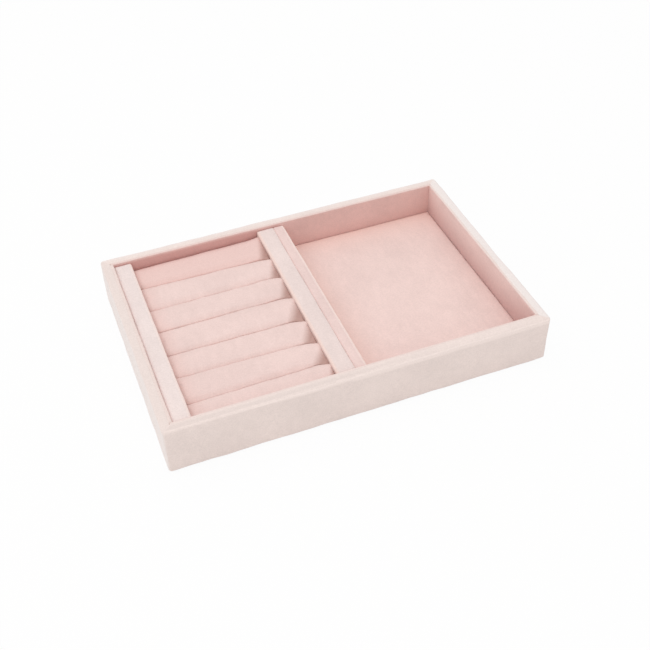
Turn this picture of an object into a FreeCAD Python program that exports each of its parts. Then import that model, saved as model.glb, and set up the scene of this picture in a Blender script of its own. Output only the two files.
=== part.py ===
import FreeCAD, Part
import os
import Sketcher

# Jewelry tray: a cloth-covered board tray with a drop-in ring insert on the left, a divider in the
# middle and a padded compartment on the right. +X right, +Y back, +Z up, origin under the middle.

# Driving sizes in millimetres, one cell each
SIZES = {
    # The whole tray, over its cloth
    "tray_length": 240.0,
    "tray_width": 160.0,
    "tray_height": 33.0,
    # Walls, from the outside in: cloth, board, the same cloth turned over, lining card, lining cloth
    "wrap_cloth": 0.6,
    "wall_board": 4.5,
    "lining_card": 0.8,
    "lining_cloth": 0.5,
    "lining_drop": 0.5,
    # Rounded edges of the wall boards under the cloth
    "rim_round": 1.8,
    "inner_rim_round": 0.4,
    "foot_round": 0.6,
    "corner_extra": 0.2,
    # Base and underside
    "base_board": 3.0,
    "turn_in": 9.0,
    "filler_gap": 0.3,
    "cover_sheet": 0.6,
    "cover_margin": 4.0,
    "cover_corner": 4.0,
    # Divider
    "divider_board": 5.8,
    "divider_drop": 2.0,
    "divider_round": 1.0,
    # Padded floor of the right compartment
    "pad_gap": 0.4,
    "pad_board": 2.0,
    "pad_foam": 4.2,
    "pad_round": 1.2,
    # Ring insert
    "bay_liner": 0.5,
    "insert_gap": 0.5,
    "insert_board": 2.5,
    "rail_width": 10.4,
    "rail_drop": 2.0,
    "rail_round": 1.0,
    "roll_height": 21.5,
    "roll_gap": 0.2,
    "roll_end_gap": 0.25,
    "roll_round": 5.5,
    "roll_end_round": 3.0,
    "foam_flat": 0.2,
    # How far a cutting block reaches past the solid that it cuts
    "overrun": 5.0,
}

# The largest part of a wall's or a roll's thickness that a rounded edge may take up
SHARES = {
    "rim_most_share": 0.6,
    "inner_rim_most_share": 0.3,
    "block_most_share": 0.4,
    "roll_most_share": 0.42,
    "roll_end_most_share": 0.2,
}

# Rolls side by side in the ring insert
ROLL_COUNT = 7

# Positions and sizes that follow from the ones above
LAYOUT = {
    "rim_radius": "min(sizes.rim_round; sizes.rim_most_share * sizes.wall_board)",
    "inner_rim_radius": "min(sizes.inner_rim_round; sizes.inner_rim_most_share * sizes.wall_board)",
    "corner_radius": "rim_radius + sizes.corner_extra",
    "wall_wrapped": "sizes.wall_board + 2 * sizes.wrap_cloth",
    "lining": "sizes.lining_card + sizes.lining_cloth",
    "wall_total": "wall_wrapped + lining",
    "boards_length": "sizes.tray_length - 2 * sizes.wrap_cloth",
    "boards_width": "sizes.tray_width - 2 * sizes.wrap_cloth",
    "boards_z": "sizes.cover_sheet + sizes.wrap_cloth",
    "boards_height": "sizes.tray_height - sizes.wrap_cloth - boards_z",
    "base_length": "boards_length - 2 * sizes.wall_board",
    "base_width": "boards_width - 2 * sizes.wall_board",
    "floor_z": "boards_z + sizes.base_board",
    "wrapped_length": "sizes.tray_length - 2 * wall_wrapped",
    "wrapped_width": "sizes.tray_width - 2 * wall_wrapped",
    "clear_length": "sizes.tray_length - 2 * wall_total",
    "clear_width": "sizes.tray_width - 2 * wall_total",
    "lining_height": "sizes.tray_height - sizes.lining_drop - floor_z",
    "divider_total": "sizes.divider_board + 2 * sizes.wrap_cloth",
    "divider_height": "sizes.tray_height - sizes.divider_drop - floor_z",
    "divider_radius": "min(sizes.divider_round; sizes.block_most_share * sizes.divider_board)",
    "bay_length": "(clear_length - divider_total) / 2",
    "bay_x": "(bay_length + divider_total) / 2",
    "pad_length": "bay_length - 2 * sizes.pad_gap",
    "pad_width": "clear_width - 2 * sizes.pad_gap",
    "pad_height": "sizes.pad_board + sizes.pad_foam + sizes.wrap_cloth",
    "pad_radius": "min(sizes.pad_round; sizes.block_most_share * sizes.pad_foam)",
    "insert_length": "bay_length - 2 * sizes.insert_gap",
    "insert_width": "clear_width - 2 * sizes.insert_gap",
    "insert_z": "floor_z + sizes.bay_liner",
    "rail_z": "insert_z + sizes.insert_board",
    "rail_height": "sizes.tray_height - sizes.rail_drop - rail_z",
    "rail_x": "(insert_length - sizes.rail_width) / 2",
    "rail_core_width": "sizes.rail_width - 2 * sizes.wrap_cloth",
    "rail_radius": "min(sizes.rail_round; sizes.block_most_share * rail_core_width)",
    "roll_length": "insert_length - 2 * (sizes.rail_width + sizes.roll_end_gap)",
    "roll_pitch": f"insert_width / {ROLL_COUNT}",
    "roll_width": "roll_pitch - sizes.roll_gap",
    "foam_width": "roll_width - 2 * sizes.wrap_cloth",
    "foam_height": "sizes.roll_height - 2 * sizes.wrap_cloth",
    "foam_radius": "min(sizes.roll_round; sizes.roll_most_share * min(foam_width; foam_height))",
    "foam_end_radius": "min(sizes.roll_end_round; sizes.roll_end_most_share * min(foam_width; foam_height))",
    "roll_flat_depth": "foam_height / 2 - sizes.foam_flat",
    "roll_z": "rail_z + roll_flat_depth",
}

# Two positions closer than this are the same position
NEAR = 1e-5

doc = FreeCAD.newDocument("jewelry_tray")
pieces = []


def fill_sheet(sheet, cells, lead=""):
    """Write one named cell per row."""
    for row, (name, content) in enumerate(cells.items(), 1):
        sheet.set(f"A{row}", name)
        sheet.set(f"B{row}", f"{lead}{content}")
        sheet.setAlias(f"B{row}", name)
    doc.recompute()


sizes = doc.addObject("Spreadsheet::Sheet", "sizes")
fill_sheet(sizes, {**SIZES, **SHARES})
layout = doc.addObject("Spreadsheet::Sheet", "layout")
fill_sheet(layout, LAYOUT, "=")


def value(formula):
    """The present value of a formula."""
    return float(sizes.evalExpression(formula))


def piece(item, label):
    """Name an object as one finished piece of the tray."""
    item.Label = label
    pieces.append(item)
    return item


def place(item, x="", y="", z=""):
    """Bind an object's position to formulas."""
    for axis, formula in zip("xyz", (x, y, z)):
        if formula:
            item.setExpression(f"Placement.Base.{axis}", formula)


def box(name, length, width, height, x, y, z):
    """A plain board, card or sheet, centred on x and y and standing on z."""
    item = doc.addObject("Part::Box", name)
    item.setExpression("Length", length)
    item.setExpression("Width", width)
    item.setExpression("Height", height)
    place(item, f"{x} - ({length}) / 2", f"{y} - ({width}) / 2", z)
    return item


def boolean(kind, name, base, tool):
    """A Part::Cut or Part::Common of two objects."""
    item = doc.addObject(f"Part::{kind}", name)
    item.Base = base
    item.Tool = tool
    doc.recompute()
    return item


def new_sketch(body, role, lift=""):
    """An empty sketch on one of the body's own planes, or lifted off it."""
    sketch = body.newObject("Sketcher::SketchObject", f"{body.Name}_sketch")
    plane = next(item for item in body.Origin.OriginFeatures if item.Role == role)
    sketch.AttachmentSupport = [(plane, "")]
    sketch.MapMode = "FlatFace"
    if lift:
        sketch.setExpression("AttachmentOffset.Base.z", lift)
    return sketch


def bind(sketch, constraint, name, formula):
    """Add a driving dimension and bind it to a formula."""
    index = sketch.addConstraint(constraint)
    sketch.renameConstraint(index, name)
    sketch.setExpression(f"Constraints.{name}", formula)


def add_lines(sketch, corners):
    """A closed loop of lines through the corners; gives the index of its first line."""
    first = sketch.GeometryCount
    count = len(corners)
    points = [FreeCAD.Vector(x, y, 0) for x, y in corners]
    for n in range(count):
        sketch.addGeometry(Part.LineSegment(points[n], points[(n + 1) % count]))
    for n in range(count):
        sketch.addConstraint(Sketcher.Constraint("Coincident", first + n, 2, first + (n + 1) % count, 1))
    return first


def add_rectangle(sketch, name, length, width):
    """A rectangle round the sketch's origin."""
    half_length = value(length) / 2
    half_width = value(width) / 2
    south = add_lines(
        sketch,
        [
            (-half_length, -half_width),
            (half_length, -half_width),
            (half_length, half_width),
            (-half_length, half_width),
        ],
    )
    east = south + 1
    north = south + 2
    west = south + 3
    for line in (south, north):
        sketch.addConstraint(Sketcher.Constraint("Horizontal", line))
    for line in (east, west):
        sketch.addConstraint(Sketcher.Constraint("Vertical", line))
    sketch.addConstraint(Sketcher.Constraint("Symmetric", south, 1, north, 1, -1, 1))
    across = Sketcher.Constraint("DistanceX", south, 1, south, 2, value(length))
    upward = Sketcher.Constraint("DistanceY", east, 1, east, 2, value(width))
    bind(sketch, across, f"{name}_length", length)
    bind(sketch, upward, f"{name}_width", width)


def add_pad(body, sketch, height, symmetric=False):
    """Pad a sketch to a bound height."""
    pad = body.newObject("PartDesign::Pad", f"{body.Name}_pad")
    pad.Profile = sketch
    if symmetric:
        pad.SideType = "Symmetric"
    pad.setExpression("Length", height)
    doc.recompute()
    return pad


def round_edges(body, radius, wanted):
    """Round each edge of the body whose bounding box is wanted, given the whole shape's box too."""
    base = body.Tip
    whole = base.Shape.BoundBox
    names = [f"Edge{n}" for n, edge in enumerate(base.Shape.Edges, 1) if wanted(edge.BoundBox, whole)]
    fillet = body.newObject("PartDesign::Fillet", f"{body.Name}_round")
    fillet.Base = (base, names)
    fillet.setExpression("Radius", radius)
    doc.recompute()


def is_outer(edge, whole):
    """The edge reaches the shape's outline as seen from above."""
    reach_x = max(-edge.XMin, edge.XMax)
    reach_y = max(-edge.YMin, edge.YMax)
    return reach_x > whole.XMax - NEAR or reach_y > whole.YMax - NEAR


def is_upright(edge, whole):
    """The edge stands at one of the shape's outside corners."""
    return edge.XLength < NEAR and edge.YLength < NEAR and is_outer(edge, whole)


def is_top(edge, whole):
    """The edge lies in the top face."""
    return edge.ZMin > whole.ZMax - NEAR


def is_top_outside(edge, whole):
    """The edge goes round the outside of the top face."""
    return is_top(edge, whole) and is_outer(edge, whole)


def is_top_inside(edge, whole):
    """The edge goes round the opening in the top face."""
    return is_top(edge, whole) and not is_outer(edge, whole)


def is_foot(edge, whole):
    """The edge goes round the outside of the underside."""
    return edge.ZMax < whole.ZMin + NEAR and is_outer(edge, whole)


def is_lengthwise(edge, whole):
    """The edge runs from end to end of a roll."""
    return edge.XLength > whole.XLength - NEAR


def is_end(edge, whole):
    """The edge goes round one end of a roll."""
    return edge.XLength < NEAR


def block(name, length, width, height, rounds, x="", y="", z=""):
    """A block centred on x and y and standing on z; rounds pairs a radius with the edges that have it."""
    body = doc.addObject("PartDesign::Body", name)
    sketch = new_sketch(body, "XY_Plane")
    add_rectangle(sketch, "block", length, width)
    add_pad(body, sketch, height)
    for radius, wanted in rounds:
        round_edges(body, radius, wanted)
    place(body, x, y, z)
    doc.recompute()
    return body


def covered_block(core_name, cloth_name, length, width, height, radius, kinds, x, y, z):
    """A core and the cloth drawn over its top and sides, with the given edges rounded under the cloth."""
    cloth = "sizes.wrap_cloth"
    core = block(
        core_name,
        f"{length} - 2 * {cloth}",
        f"{width} - 2 * {cloth}",
        f"{height} - {cloth}",
        [(radius, wanted) for wanted in kinds],
        x,
        y,
        z,
    )
    over = [(f"{radius} + {cloth}", wanted) for wanted in kinds]
    blank = block(f"{cloth_name}_blank", length, width, height, over, x, y, z)
    piece(core, core_name)
    piece(boolean("Cut", cloth_name, blank, core), cloth_name)


def wall_ring(name, length, width, wall, height, extra, z):
    """A rectangular ring of wall with rounded corners, rim and foot; extra is added to each radius."""
    body = doc.addObject("PartDesign::Body", name)
    sketch = new_sketch(body, "XY_Plane")
    add_rectangle(sketch, "outside", length, width)
    add_rectangle(sketch, "inside", f"{length} - 2 * {wall}", f"{width} - 2 * {wall}")
    add_pad(body, sketch, height)
    round_edges(body, f"layout.corner_radius{extra}", is_upright)
    round_edges(body, f"layout.inner_rim_radius{extra}", is_top_inside)
    round_edges(body, f"layout.rim_radius{extra}", is_top_outside)
    round_edges(body, f"sizes.foot_round{extra}", is_foot)
    place(body, z=z)
    doc.recompute()
    return body


def mitre_wedge(name, length, angle, x="", y=""):
    """A wedge that holds one side of the wall ring, with both ends cut at 45 degrees."""
    body = doc.addObject("PartDesign::Body", name)
    sketch = new_sketch(body, "XY_Plane")
    wide = f"{length} + 2 * sizes.overrun"
    narrow = f"{length} - 2 * (sizes.wall_board + sizes.overrun)"
    half_wide = value(wide) / 2
    half_narrow = value(narrow) / 2
    front = -value("sizes.overrun")
    back = value("sizes.wall_board + sizes.overrun")
    outer = add_lines(
        sketch,
        [(-half_wide, front), (half_wide, front), (half_narrow, back), (-half_narrow, back)],
    )
    inner = outer + 2
    for line in (outer, inner):
        sketch.addConstraint(Sketcher.Constraint("Symmetric", line, 1, line, 2, -2))
    bind(sketch, Sketcher.Constraint("DistanceX", outer, 1, outer, 2, value(wide)), "wide", wide)
    bind(sketch, Sketcher.Constraint("DistanceX", inner, 2, inner, 1, value(narrow)), "narrow", narrow)
    bind(sketch, Sketcher.Constraint("DistanceY", outer, 1, -1, 1, -front), "front", "sizes.overrun")
    bind(
        sketch,
        Sketcher.Constraint("DistanceY", -1, 1, inner, 1, back),
        "back",
        "sizes.wall_board + sizes.overrun",
    )
    add_pad(body, sketch, "layout.boards_height + 2 * sizes.overrun")
    body.Placement = FreeCAD.Placement(FreeCAD.Vector(), FreeCAD.Rotation(FreeCAD.Vector(0, 0, 1), angle))
    place(body, x, y, "layout.boards_z - sizes.overrun")
    doc.recompute()
    return body


def roll_body(name, width, height, length, radius, end_radius, y):
    """A soft roll along X, rounded along and at its ends, cut flat where it is glued down."""
    body = doc.addObject("PartDesign::Body", name)
    sketch = new_sketch(body, "YZ_Plane")
    add_rectangle(sketch, "section", width, height)
    add_pad(body, sketch, length, symmetric=True)
    round_edges(body, radius, is_lengthwise)
    round_edges(body, end_radius, is_end)
    full = body.Tip.Shape.Volume
    flat = new_sketch(body, "XY_Plane", "-layout.roll_flat_depth")
    add_rectangle(flat, "flat", length, width)
    pocket = body.newObject("PartDesign::Pocket", f"{name}_flat")
    pocket.Profile = flat
    pocket.Type = "ThroughAll"
    doc.recompute()
    if body.Tip.Shape.Volume > full - NEAR:
        raise ValueError(f"{name}: the flat cuts nothing")
    place(body, "-layout.bay_x", y, "layout.roll_z")
    doc.recompute()
    return body


# Wall boards, mitred at the corners, and the base let in between them
wall_blank = wall_ring(
    "wall_blank",
    "layout.boards_length",
    "layout.boards_width",
    "sizes.wall_board",
    "layout.boards_height",
    "",
    "layout.boards_z",
)
half_length = "layout.boards_length / 2"
half_width = "layout.boards_width / 2"
for side, length, angle, x, y in (
    ("front", "layout.boards_length", 0, "", f"-{half_width}"),
    ("back", "layout.boards_length", 180, "", half_width),
    ("left", "layout.boards_width", -90, f"-{half_length}", ""),
    ("right", "layout.boards_width", 90, half_length, ""),
):
    wedge = mitre_wedge(f"{side}_wedge", length, angle, x, y)
    piece(boolean("Common", f"{side}_wall_board", wall_blank, wedge), f"{side}_wall_board")
base_board = box(
    "base_board", "layout.base_length", "layout.base_width", "sizes.base_board", "0", "0", "layout.boards_z"
)
piece(base_board, "base_board")

# Outer cloth: up the outside, over the rim, down the inside to the base, and turned in under it
wrap_blank = wall_ring(
    "wrap_blank",
    "sizes.tray_length",
    "sizes.tray_width",
    "layout.wall_wrapped",
    "sizes.tray_height - sizes.cover_sheet",
    " + sizes.wrap_cloth",
    "sizes.cover_sheet",
)
turned = new_sketch(wrap_blank, "XY_Plane")
add_rectangle(turned, "outside", "layout.wrapped_length", "layout.wrapped_width")
add_rectangle(
    turned,
    "inside",
    "layout.wrapped_length - 2 * sizes.turn_in",
    "layout.wrapped_width - 2 * sizes.turn_in",
)
add_pad(wrap_blank, turned, "sizes.wrap_cloth")
over_boards = boolean("Cut", "over_boards", wrap_blank, wall_blank)
piece(boolean("Cut", "outer_wrap", over_boards, base_board), "outer_wrap")

# Underside: a card that fills the frame of turned-in cloth, and the sheet that the tray stands on
filler_inset = "2 * (sizes.turn_in + sizes.filler_gap)"
filler = box(
    "underside_filler",
    f"layout.wrapped_length - {filler_inset}",
    f"layout.wrapped_width - {filler_inset}",
    "sizes.wrap_cloth",
    "0",
    "0",
    "sizes.cover_sheet",
)
piece(filler, "underside_filler")
bottom_cover = block(
    "bottom_cover",
    "sizes.tray_length - 2 * sizes.cover_margin",
    "sizes.tray_width - 2 * sizes.cover_margin",
    "sizes.cover_sheet",
    [("sizes.cover_corner", is_upright)],
)
piece(bottom_cover, "bottom_cover")

# Wall linings: a card with cloth over its face and its top edge
for side, facing in (("back", 1), ("front", -1), ("right", 1), ("left", -1)):
    along = side in ("back", "front")
    run = "layout.wrapped_length" if along else "layout.clear_width"
    outside = "layout.wrapped_width / 2" if along else "layout.wrapped_length / 2"
    solids = []
    for part, thick, height in (
        ("blank", "layout.lining", "layout.lining_height"),
        ("card", "sizes.lining_card", "layout.lining_height - sizes.lining_cloth"),
    ):
        centre = f"{facing} * ({outside} - {thick} / 2)"
        length, width = (run, thick) if along else (thick, run)
        x, y = ("0", centre) if along else (centre, "0")
        solids.append(box(f"{side}_lining_{part}", length, width, height, x, y, "layout.floor_z"))
    lining_blank, lining_card = solids
    piece(lining_card, f"{side}_lining_card")
    lining_cloth = boolean("Cut", f"{side}_lining_cloth", lining_blank, lining_card)
    piece(lining_cloth, f"{side}_lining_cloth")

# Divider between the two compartments
covered_block(
    "divider_board",
    "divider_cloth",
    "layout.divider_total",
    "layout.clear_width",
    "layout.divider_height",
    "layout.divider_radius",
    [is_upright, is_top],
    "",
    "",
    "layout.floor_z",
)

# Padded floor of the right compartment: board and foam in one outline, under one cloth
pad_at = ("layout.bay_x", "", "layout.floor_z")
pad_core = block(
    "pad_core",
    "layout.pad_length - 2 * sizes.wrap_cloth",
    "layout.pad_width - 2 * sizes.wrap_cloth",
    "sizes.pad_board + sizes.pad_foam",
    [("layout.pad_radius", is_upright), ("layout.pad_radius", is_top)],
    *pad_at,
)
pad_over = "layout.pad_radius + sizes.wrap_cloth"
pad_blank = block(
    "pad_blank",
    "layout.pad_length",
    "layout.pad_width",
    "layout.pad_height",
    [(pad_over, is_upright), (pad_over, is_top)],
    *pad_at,
)
pad_slab = box(
    "pad_slab",
    "layout.pad_length",
    "layout.pad_width",
    "sizes.pad_board",
    "layout.bay_x",
    "0",
    "layout.floor_z",
)
piece(boolean("Common", "pad_board", pad_core, pad_slab), "pad_board")
piece(boolean("Cut", "pad_foam", pad_core, pad_slab), "pad_foam")
piece(boolean("Cut", "pad_cloth", pad_blank, pad_core), "pad_cloth")

# Ring bay and the insert that drops into it
bay_liner = box(
    "bay_liner",
    "layout.bay_length",
    "layout.clear_width",
    "sizes.bay_liner",
    "-layout.bay_x",
    "0",
    "layout.floor_z",
)
piece(bay_liner, "bay_liner")
insert_board = box(
    "insert_board",
    "layout.insert_length",
    "layout.insert_width",
    "sizes.insert_board",
    "-layout.bay_x",
    "0",
    "layout.insert_z",
)
piece(insert_board, "insert_board")
for side, x in (("left", "-layout.bay_x - layout.rail_x"), ("right", "-layout.bay_x + layout.rail_x")):
    covered_block(
        f"{side}_rail_core",
        f"{side}_rail_cloth",
        "sizes.rail_width",
        "layout.insert_width",
        "layout.rail_height",
        "layout.rail_radius",
        [is_upright, is_top],
        x,
        "",
        "layout.rail_z",
    )

# Ring rolls, numbered from the back
for n in range(1, ROLL_COUNT + 1):
    y = f"(({ROLL_COUNT} + 1) / 2 - {n}) * layout.roll_pitch"
    foam = roll_body(
        f"ring_roll_foam_{n}",
        "layout.foam_width",
        "layout.foam_height",
        "layout.roll_length - 2 * sizes.wrap_cloth",
        "layout.foam_radius",
        "layout.foam_end_radius",
        y,
    )
    roll_blank = roll_body(
        f"ring_roll_blank_{n}",
        "layout.roll_width",
        "sizes.roll_height",
        "layout.roll_length",
        "layout.foam_radius + sizes.wrap_cloth",
        "layout.foam_end_radius + sizes.wrap_cloth",
        y,
    )
    piece(foam, f"ring_roll_foam_{n}")
    piece(boolean("Cut", f"ring_roll_cloth_{n}", roll_blank, foam), f"ring_roll_cloth_{n}")

# Check every object, then write one file per piece
doc.recompute()
for item in doc.Objects:
    if "Invalid" in item.State or "Error" in item.State:
        raise ValueError(f"{item.Label}: {item.State}")
os.makedirs("parts", exist_ok=True)
for item in pieces:
    shape = item.Shape
    if shape.isNull() or not shape.isValid() or len(shape.Solids) != 1:
        raise ValueError(f"{item.Label}: not one valid solid")
    shape.Solids[0].exportStep(f"parts/{item.Label}.step")
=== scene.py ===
import math

import bmesh
import bpy
import numpy as np
from mathutils import Matrix, Vector


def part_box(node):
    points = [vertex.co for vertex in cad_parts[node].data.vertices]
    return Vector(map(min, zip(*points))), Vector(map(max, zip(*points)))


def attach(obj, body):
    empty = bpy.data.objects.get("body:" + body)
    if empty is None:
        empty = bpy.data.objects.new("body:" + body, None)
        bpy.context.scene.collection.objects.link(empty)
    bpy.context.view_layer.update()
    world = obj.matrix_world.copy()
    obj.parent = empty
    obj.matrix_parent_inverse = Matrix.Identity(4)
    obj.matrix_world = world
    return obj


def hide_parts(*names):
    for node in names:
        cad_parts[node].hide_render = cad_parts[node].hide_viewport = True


# Looks of the jewelry tray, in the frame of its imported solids: +X right, +Y back, +Z up. Lengths are
# in millimetres until a mesh is written. The stage, the lamp and the camera are in metres.

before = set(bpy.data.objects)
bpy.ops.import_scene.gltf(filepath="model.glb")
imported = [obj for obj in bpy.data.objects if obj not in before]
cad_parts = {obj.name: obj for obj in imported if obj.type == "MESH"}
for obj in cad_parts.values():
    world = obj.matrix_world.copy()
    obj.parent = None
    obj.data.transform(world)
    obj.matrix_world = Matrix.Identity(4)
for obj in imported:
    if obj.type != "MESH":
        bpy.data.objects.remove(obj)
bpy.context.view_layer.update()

MM = 0.001

# Spacing of points round a piece: extra ones near each corner, then even steps
CORNER_STEPS = np.array([0.25, 0.6, 1.05, 1.6, 2.3, 3.2])
PATH_STEP = 1.7
CORNER_POINTS = 7

# Points nearer than this, in metres, become one; a length under TINY counts as none
MERGE = 1e-6
TINY = 1e-9

# Unevenness of cloth: how many waves make it up and how far their lengths spread, and for each piece
# the height and the length of its long and its short waves
WAVE_COUNT = 14
WAVE_SPREAD = (0.7, 1.6)
WRAP_WAVES = ((0.10, 34.0), (0.05, 11.0))
BAR_WAVES = ((0.05, 26.0), (0.03, 9.0))
LINING_WAVES = ((0.042, 30.0), (0.018, 10.0))
ROLL_WAVES = ((0.14, 19.0), (0.05, 7.0))
PAD_WAVES = ((0.07, 32.0), (0.03, 11.0))

# Seeds of the waves; the four linings go on from the first of theirs, and each roll adds its number
WRAP_SEED = 11
LINING_SEED = 20
DIVIDER_SEED = 30
LEFT_RAIL_SEED = 34
RIGHT_RAIL_SEED = 36
ROLL_SEEDS = (40, 60)
PAD_SEED = 81

# Outer cloth: its thickness and rounded edges, the wall that it covers, and how far it goes in under
# the base; it stays even at the points under the base and down the inside
CLOTH = 0.6
RIM_OUTER = 1.6
RIM_INNER = 0.65
FOOT = 0.9
WALL_CORNER = 2.0
WALL_WRAPPED = 5.7
TURN_IN = 9.0
UNDER_POINTS = 7
INSIDE_POINTS = 8

# A zone is a pair: where it starts and over which length it comes in, towards lower values if that is
# negative. Its heights are from a piece's top, unless said otherwise.

# The crease along the mitre of each rim corner: its depth and width, and its zones in from the outside
# and up to the rim
MITRE_DIP = 0.2
MITRE_WIDTH = 0.9
MITRE_IN = (1.0, 4.0)
MITRE_UP = (-1.2, 1.0)

# Painted light on the outer cloth: on its sides, less at the top of the left one, and on the back rim
SIDE_BLEND = 1.0
LEFT_TOP = (0.0, -1.5)
LEFT_TOP_LIGHT = 0.2
BACK_RIM = (-3.5, 2.0)
BACK_RIM_LIGHT = 0.6

# Painted shade on top of the front rim, by its place on X, and of the left rim
RIM_TOP = (-1.2, 0.8)
FRONT_RIM = (1.0, 0.8)
FRONT_RIM_END = (5.4, -3.0)
FRONT_RIM_DEEP = ((-100, 0.9), (-60, 0.7), (-20, 0.6), (60, 0))
LEFT_RIM_DEEP = 0.5

# Painted highlight along the upper edge of the front: how far down it goes and how strong it is, by X
EDGE_DOWN = ((-75, 1.2), (-35, 2.2), (-20, 2.5), (-5, 3.4), (110, 4.1))
EDGE_DOWN_BLEND = 0.5
EDGE_TOP = (-0.3, -0.6)
EDGE_STRENGTH = ((-85, 0.1), (-45, 1))

# Cloth of the linings: its rounded top, how far it stands up and is tucked in, how it draws back at its
# ends, and how full the left one is and how far the side ones press on the others
LINING_CLOTH = 0.5
LINING_TOP = 0.7
LINING_RISE = 0.4
LINING_TUCK = 0.55
LINING_END = 0.25
LINING_DRAW = 0.9
LINING_BACK = 0.05
LINING_FULL = 0.4
LINING_PRESS = 0.2
LINING_END_STEPS = np.array([0, 0.05, 0.2, 0.45, 0.7, 1.0, 1.4, 2.0])
LINING_EVEN_START = 3.0

# Painted light and shade on the linings, by height above the ground: painted light along the top
# edge, and painted shade on the face of the front and back ones, in the right half only low down
LINING_EDGE = (32.3, 0.55)
BACK_LINING_LIGHT = 0.7
LINING_FACE = (32.2, -0.4)
LOW_DEEP = 0.4
LOW_DEEP_DOWN = (20, -10)

# Painted shade on the side linings: darker downwards, and towards the front end, by its place on Y
SIDE_DEEP_TOP = 29
SIDE_DEEP_REACH = 18
FRONT_END_DEEP = 0.4
FRONT_END = (-30, -40)

# Cloth of the rails and the divider: rounded corners and edges, the angle at which an edge leaves the
# side, a slight crown, how far a hollow may go in, how close to the top counts as the top, and the
# points at the foot that stay even
BAR_CORNER = 1.0
BAR_EDGE = 1.7
BAR_EDGE_START = 148.0
BAR_CROWN = 0.2
BAR_CROWN_POWER = 0.7
BAR_HOLLOW = 0.06
BAR_LEVEL = 0.01
BAR_FOOT_POINTS = 2

# How much fuller the rails' cloth is than the solids: towards the rolls, and where it meets other cloth
LEFT_RAIL_FULL = 0.5
RIGHT_RAIL_FULL = 0.75
RAIL_PILE = 0.46

# Painted highlight along one long edge of the rails and the divider, and painted shade down the sides
BAR_BLOOM = (1.7, -0.9)
BAR_BLOOM_UP = (-1.3, 0.5)
BAR_SIDE_DEEP = 0.12
BAR_SIDE_DOWN = (-0.7, -0.5)
BAR_SAME_FACE = 1

# Painted shade in the pocket at the right end of a roll, by the share of the roll's width from its back
POCKET = (0.25, 0.65)
POCKET_LEAST = 0.35

# Ring rolls from the back to the front: where each meets the next, at its left and at its right end, and
# how high its crest is at the right end
ROLL_EDGES = (
    (72.6, 72.6),
    (51.8, 48.8),
    (29.0, 28.6),
    (8.5, 8.2),
    (-13.0, -14.7),
    (-32.9, -35.8),
    (-55.4, -55.4),
    (-72.6, -72.6),
)
ROLL_CRESTS = (28.2, 27.7, 27.5, 27.0, 26.6, 27.0, 26.7)
ROLL_FALL = 1.5

# The power of a roll's section and how much too large it starts: before and behind its crest, and on a
# side that no other roll presses; then how much too large it is at its ends and under it
ROLL_FRONT = (3.8, 2.4)
ROLL_BACK = (6.0, 1.2)
ROLL_FREE = (5.2, 0.5)
ROLL_END_OVER = 1.6
ROLL_UNDER = 0.2
ROLL_TOUCH = 0.05

# Points along a roll, close together at its ends, and round its section
ROLL_END_STEPS = np.array([0, 0.1, 0.35, 0.8, 1.4, 2.1, 2.9, 3.8, 4.8, 5.9, 7.1])
ROLL_EVEN_START = 1.2
ROLL_EVEN_POINTS = 46
ROLL_SECTION_POINTS = 96

# How the rolls' back edges bend forward and turn up in a lip at the right rail
ROLL_BEND = 1.4
ROLL_BEND_LENGTH = 8.0
ROLL_LIP_LEVEL = 29.2
ROLL_LIP_BEND = 1.16
ROLL_LIP_LENGTH = 9.0

# The fold at the right end of each roll: how far it reaches along the crease, and up which share of the
# roll's width at the rail; then how far it drops, how its front is filled out, and how fast the painted
# shade in it rises and how dark it gets
FOLDS = ((7.5, 0.95), (7.0, 0.9), (7.0, 0.9), (10.0, 0.9), (8.5, 0.95), (9.0, 0.75), (5.0, 0.9))
FOLD_DROP = 2.0
FOLD_SOFT = 0.25
FOLD_FILL = 1.8
FOLD_FILL_REACH = 2
FOLD_GAIN = 1.25
FOLD_SHADE = 0.68

# Where a roll is uneven, up from its underside
ROLL_UNEVEN = (6.0, 6.0)

# Painted shade on the rolls: a warmer, deeper tint at the left end and all over the first roll, and
# darker where the left end meets the rail, most in its front corner
ROLL_WARM = 0.55
ROLL_WARM_LENGTH = 12
FIRST_ROLL_WARM = 0.8
ROLL_LEFT_DEEP = 0.25
ROLL_CORNER_DEEP = 0.5
ROLL_LEFT_LENGTH = 4

# The padded floor is a little larger than its bay before it is pressed in
PAD_OVER = 0.8
PAD_TOUCH = 0.05
PAD_CORNER = 1.2
PAD_EDGE = 1.3
PAD_RISE = 0.15
PAD_ACROSS_POINTS = 24

# Its top, which is uneven, and the painted warm shade near the divider and the back wall
PAD_TOP = (-1.5, 1.2)
PAD_WARM_DIVIDER = 30
PAD_WARM_BACK = 34

# Of what a padded piece reaches past the things that press it, this share is left
PRESS_GIVE = 0.02

# Swelling of the padded pieces, worked out at a larger scale at which cloth behaves as it should: the
# even mesh's spacing, how far up a piece is glued, how far it swells, and how full it is
SWELL_SCALE = 20.0
SWELL_FRAMES = 20
SWELL_PRESSURE = 4.0
ROLL_VOXEL = 1.25
ROLL_GLUED = 0.7
ROLL_CAP = 0.4
PAD_VOXEL = 1.4
PAD_GLUED = 0.6
PAD_CAP = 0.3


def soft_waves(points, seed, wavelength):
    """Smooth unevenness of about unit size: the sum of sine waves that run in seeded random directions,
    with wavelengths spread about the given one, divided by the size that such a sum usually has."""
    draw = np.random.default_rng(seed)
    direction = draw.normal(size=(WAVE_COUNT, 3))
    direction /= np.linalg.norm(direction, axis=1, keepdims=True)
    lengths = wavelength * draw.uniform(*WAVE_SPREAD, WAVE_COUNT)
    phase = draw.uniform(0, 2 * np.pi, WAVE_COUNT)
    waves = 2 * np.pi * direction / lengths[:, None]
    return np.sin(points @ waves.T + phase).sum(-1) / math.sqrt(WAVE_COUNT / 2)


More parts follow.
